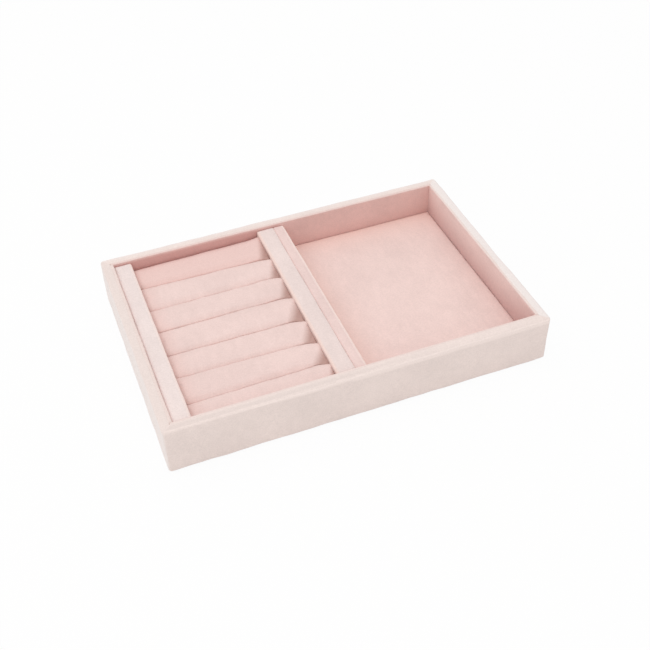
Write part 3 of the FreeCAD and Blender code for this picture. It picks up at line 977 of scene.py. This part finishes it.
def velvet(name, colour, sheen, contrast, brushed, **leaning):
    """Short-pile velvet. Broad patches and brushed strokes of nap lean towards a deeper or a lighter
    tint of the colour, fine pile speckles it, and both show as bump. Other colours, given by name, are
    painted light and painted shade: each comes in where the piece keeps a share of its name."""
    finish = Finish(name)
    patches = finish.noise(NAP_PATCH, detail=2.0, rough=0.55)
    brushing = finish.stretched(brushed, NAP_STRETCH)
    strokes = finish.noise(NAP_STROKE, detail=4.0, rough=0.6, place=brushing)
    pile = finish.noise(PILE_GRAIN, detail=3.0, rough=0.65)
    nap = finish.combined(
        "ADD",
        finish.combined("MULTIPLY", patches, NAP_WEIGHTS[0]),
        finish.combined("MULTIPLY", strokes, NAP_WEIGHTS[1]),
    )
    share = finish.spread(nap, VELVET_RANGE)
    ground = finish.blend(share, tinted(colour, 1 - contrast), tinted(colour, 1 + contrast))
    # Painted light and shade: each named colour comes in by the share the piece keeps of that name
    for share_name, other in leaning.items():
        ground = finish.blend(finish.own(share_name), ground, other)
    speckle = finish.spread(pile, VELVET_RANGE, (0.0, PILE_SPECKLE))
    finish.feed("Base Color", finish.blend(speckle, ground, PILE_SPECKLE_TONE, "MULTIPLY"))
    finish.feed("Roughness", finish.spread(nap, ROUGH_RANGE, NAP_ROUGHNESS))
    finish.feed("Normal", finish.bump(strokes, *NAP_BUMP, under=finish.bump(pile, *PILE_BUMP)))
    finish.keep("Specular IOR Level", VELVET_SPECULAR)
    finish.keep("Sheen Weight", sheen)
    finish.keep("Sheen Roughness", VELVET_SHEEN_ROUGHNESS)
    finish.keep("Sheen Tint", VELVET_SHEEN_TINT)
    return finish.material


def board(name, colour, fleck, fibre, rough):
    """Pressed board or paper: a ground colour with flecks of another and fine fibres as bump."""
    finish = Finish(name)
    lay = finish.stretched(FIBRE_TURN, FIBRE_STRETCH)
    fibres = finish.noise(fibre, detail=5.0, rough=0.7, place=lay)
    flecks = finish.noise(FLECK_SIZE, detail=3.0, rough=0.7)
    tints = (tinted(colour, factor) for factor in FIBRE_TINTS)
    ground = finish.blend(finish.spread(fibres, FIBRE_RANGE), *tints)
    share = finish.spread(flecks, FLECK_RANGE, (0.0, FLECK_MOST))
    finish.feed("Base Color", finish.blend(share, ground, fleck))
    roughness = tuple(rough + change for change in FIBRE_ROUGHNESS)
    finish.feed("Roughness", finish.spread(fibres, ROUGH_RANGE, roughness))
    finish.feed("Normal", finish.bump(fibres, *FIBRE_BUMP))
    finish.keep("Specular IOR Level", BOARD_SPECULAR)
    return finish.material


# Velvets by name: sheen, contrast of the nap, the way it is brushed in degrees about the axes, the
# colour, and the colours of painted light and painted shade, which come in by the shares a piece keeps
COVER_CLOTH = {"sheen": 0.25, "contrast": 0.04, "brushed": (0, 0, 35)}
VELVETS = {
    "outer_velvet": {
        **COVER_CLOTH,
        "colour": (0.893, 0.769, 0.728),
        "light": (0.915, 0.836, 0.815),
        "painted_shade": (0.82, 0.707, 0.67),
        "edge": (0.98, 0.85, 0.805),
    },
    "left_rail_velvet": {
        **COVER_CLOTH,
        "colour": (0.88, 0.762, 0.738),
        "light": (0.95, 0.80, 0.76),
        "painted_shade": (0.56, 0.37, 0.33),
    },
    "right_rail_velvet": {
        **COVER_CLOTH,
        "colour": (0.862, 0.725, 0.697),
        "light": (0.902, 0.714, 0.658),
        "painted_shade": (0.56, 0.37, 0.33),
    },
    "divider_velvet": {
        **COVER_CLOTH,
        "colour": (0.853, 0.66, 0.628),
        "light": (0.98, 0.81, 0.76),
        "painted_shade": (0.76, 0.53, 0.49),
    },
    "roll_velvet": {
        "sheen": 0.22,
        "contrast": 0.04,
        "brushed": (0, 0, 60),
        "colour": (0.865, 0.675, 0.64),
        "light": (0.86, 0.613, 0.574),
        "painted_shade": (0.40, 0.21, 0.17),
    },
    "pad_velvet": {
        "sheen": 0.22,
        "contrast": 0.045,
        "brushed": (0, 0, 20),
        "colour": (0.885, 0.692, 0.655),
        "light": (0.955, 0.71, 0.65),
    },
    "lining_velvet": {
        "sheen": 0.2,
        "contrast": 0.05,
        "brushed": (0, 90, 0),
        "colour": (0.815, 0.568, 0.532),
        "light": (0.87, 0.73, 0.69),
        "painted_shade": (0.73, 0.443, 0.412),
    },
    "side_lining_velvet": {
        "sheen": 0.2,
        "contrast": 0.05,
        "brushed": (90, 0, 0),
        "colour": (0.875, 0.68, 0.645),
        "light": (0.87, 0.73, 0.69),
        "painted_shade": (0.68, 0.458, 0.436),
    },
}
velvets = {name: velvet(name, **look) for name, look in VELVETS.items()}

# Finishes of the CAD nodes that stay, by words in the nodes' names
node_finishes = {
    ("wall_board", "base_board", "divider_board", "pad_board", "rail_core"): board(
        "fibreboard", (0.45, 0.33, 0.22), fleck=(0.25, 0.17, 0.11), fibre=1.6, rough=0.8
    ),
    ("lining_card", "insert_board", "underside_filler"): board(
        "greyboard", (0.50, 0.47, 0.43), fleck=(0.30, 0.28, 0.26), fibre=2.2, rough=0.85
    ),
    ("bay_liner",): board(
        "liner_paper", (0.80, 0.66, 0.62), fleck=(0.70, 0.55, 0.51), fibre=2.6, rough=0.88
    ),
    ("bottom_cover",): board(
        "underside_felt", (0.72, 0.60, 0.56), fleck=(0.58, 0.46, 0.43), fibre=3.0, rough=0.95
    ),
}
for name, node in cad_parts.items():
    for words, finish in node_finishes.items():
        if any(word in name for word in words):
            for place in node.material_slots:
                place.material = finish

# Outer cloth and wall linings
wrap_velvet()
for number, side in enumerate(("front", "back", "left", "right")):
    lining_panel(side, LINING_SEED + len(LINING_WAVES) * number)

# Divider and the rails of the ring insert, whose cloth is fuller than the solids
low, high = node_box("divider_cloth")
covered_bar("divider", "tray", low, high, DIVIDER_SEED, high[0])
left_face, right_face = rail_faces()
low, high = node_box("left_rail_cloth")
low[1], high[1] = low[1] - RAIL_PILE, high[1] + RAIL_PILE
high[0] = left_face
covered_bar("left_rail", "ring_insert", low, high, LEFT_RAIL_SEED, left_face)
low, high = node_box("right_rail_cloth")
low[1], high[1] = low[1] - RAIL_PILE, high[1] + RAIL_PILE
low[0], high[0] = right_face, high[0] + RAIL_PILE
covered_bar("right_rail", "ring_insert", low, high, RIGHT_RAIL_SEED, right_face)

# Padded pieces
for number in range(1, len(ROLL_CRESTS) + 1):
    ring_roll(number)
floor_pad()

# Stage: a white floor that keeps a faint shadow, a white surround, soft light from above and the left
FLOOR_HALF = 3.0
FLOOR_DROP = 0.0004
FLOOR_GLOW = 0.94
FLOOR_GREY = (0.88, 0.88, 0.88, 1.0)
SURROUND_COLOUR = (1.0, 0.995, 0.985, 1.0)
SURROUND_LIGHT = 0.807
SEEN_WHITE = (1.0, 1.0, 1.0, 1.0)
KEY_COLOUR = (1.0, 0.985, 0.97)
KEY_POWER = 4.6
KEY_SIZE = 1.5
KEY_PLACE = (-0.42, -0.08, 1.15)
KEY_TARGET = (0, 0, 0.02)

# Camera, fitted to the tray's corners in the photograph
CAMERA_AZIMUTH = math.radians(-19.835)
CAMERA_ELEVATION = math.radians(41.896)
CAMERA_ROLL = math.radians(-1.912)
CAMERA_DISTANCE = 0.6520
CAMERA_ASIDE = -0.0005
CAMERA_RAISE = 0.0114
CAMERA_FOCUS_PIXELS = 1010.1
CAMERA_SHIFT_PIXELS = (7.91, -15.34)
CAMERA_CLIP = (0.01, 20.0)
PICTURE_PIXELS = 650
SENSOR = 36.0


def seen_ray(tree):
    """1 for a ray from the camera, or one that reaches the camera by a mirror or through glass."""
    rays = tree.nodes.new("ShaderNodeLightPath")
    share = rays.outputs["Is Camera Ray"]
    for name in ("Is Glossy Ray", "Is Transmission Ray"):
        largest = tree.nodes.new("ShaderNodeMath")
        largest.operation = "MAXIMUM"
        tree.links.new(share, largest.inputs[0])
        tree.links.new(rays.outputs[name], largest.inputs[1])
        share = largest.outputs[0]
    return share


def light_node(tree, kind, colour, strength=1.0):
    """An output of plain light, from an Emission or a Background node."""
    node = tree.nodes.new(kind)
    node.inputs["Color"].default_value = colour
    node.inputs["Strength"].default_value = strength
    return node.outputs[0]


def mixed_surface(tree, output_kind, share, first, second):
    """Join two shaders by a share and make the result the surface."""
    mix = tree.nodes.new("ShaderNodeMixShader")
    tree.links.new(share, mix.inputs["Fac"])
    tree.links.new(first, mix.inputs[1])
    tree.links.new(second, mix.inputs[2])
    tree.links.new(mix.outputs[0], tree.nodes.new(output_kind).inputs["Surface"])


def white_floor():
    """The floor: a matte square that takes the tray's shadow, mostly plain white where it is seen."""
    corners = ((-1, -1), (1, -1), (1, 1), (-1, 1))
    mesh = bpy.data.meshes.new("floor")
    mesh.from_pydata(
        [(x * FLOOR_HALF, y * FLOOR_HALF, -FLOOR_DROP) for x, y in corners], [], [(0, 1, 2, 3)]
    )
    floor_paint = bpy.data.materials.new("floor_paint")
    floor_paint.use_nodes = True
    tree = floor_paint.node_tree
    tree.nodes.clear()
    matte = tree.nodes.new("ShaderNodeBsdfDiffuse")
    matte.inputs["Color"].default_value = FLOOR_GREY
    share = tree.nodes.new("ShaderNodeMath")
    share.operation = "MULTIPLY"
    share.inputs[1].default_value = FLOOR_GLOW
    tree.links.new(seen_ray(tree), share.inputs[0])
    glow = light_node(tree, "ShaderNodeEmission", SEEN_WHITE)
    mixed_surface(tree, "ShaderNodeOutputMaterial", share.outputs[0], matte.outputs[0], glow)
    mesh.materials.append(floor_paint)
    return add_object("floor", mesh)


def white_surround():
    """The surround: even light on the tray, and plain white where it is seen."""
    world = bpy.data.worlds.new("surround")
    world.use_nodes = True
    tree = world.node_tree
    tree.nodes.clear()
    light = light_node(tree, "ShaderNodeBackground", SURROUND_COLOUR, SURROUND_LIGHT)
    seen = light_node(tree, "ShaderNodeBackground", SEEN_WHITE)
    mixed_surface(tree, "ShaderNodeOutputWorld", seen_ray(tree), light, seen)
    return world


def key_lamp():
    """A large round lamp above the tray and to its left, turned towards it."""
    data = bpy.data.lights.new("key", "AREA")
    data.shape = "DISK"
    data.size = KEY_SIZE
    data.energy = KEY_POWER
    data.color = KEY_COLOUR
    direction = Vector(KEY_TARGET) - Vector(KEY_PLACE)
    matrix = direction.to_track_quat("-Z", "Y").to_matrix().to_4x4()
    matrix.translation = KEY_PLACE
    add_object("key", data).matrix_world = matrix


def photograph_camera():
    """A camera on a sphere round the tray's middle by azimuth and elevation, rolled about its own axis
    and moved a little within its picture plane."""
    flat = math.cos(CAMERA_ELEVATION)
    back = np.array(
        [math.sin(CAMERA_AZIMUTH) * flat, -math.cos(CAMERA_AZIMUTH) * flat, math.sin(CAMERA_ELEVATION)]
    )
    level = np.array([math.cos(CAMERA_AZIMUTH), math.sin(CAMERA_AZIMUTH), 0.0])
    upright = np.cross(back, level)
    right = level * math.cos(CAMERA_ROLL) + upright * math.sin(CAMERA_ROLL)
    up = upright * math.cos(CAMERA_ROLL) - level * math.sin(CAMERA_ROLL)
    place = back * CAMERA_DISTANCE + right * CAMERA_ASIDE + up * CAMERA_RAISE
    data = bpy.data.cameras.new("camera")
    data.sensor_width = SENSOR
    data.lens = SENSOR * CAMERA_FOCUS_PIXELS / PICTURE_PIXELS
    data.shift_x, data.shift_y = (pixels / PICTURE_PIXELS for pixels in CAMERA_SHIFT_PIXELS)
    data.clip_start, data.clip_end = CAMERA_CLIP
    camera = add_object("camera", data)
    rows = np.column_stack([right, up, back, place]).tolist()
    camera.matrix_world = Matrix(rows + [[0, 0, 0, 1]])
    return camera


white_floor()
bpy.context.scene.world = white_surround()
key_lamp()
bpy.context.scene.camera = photograph_camera()
bpy.context.scene.view_settings.view_transform = "Standard"
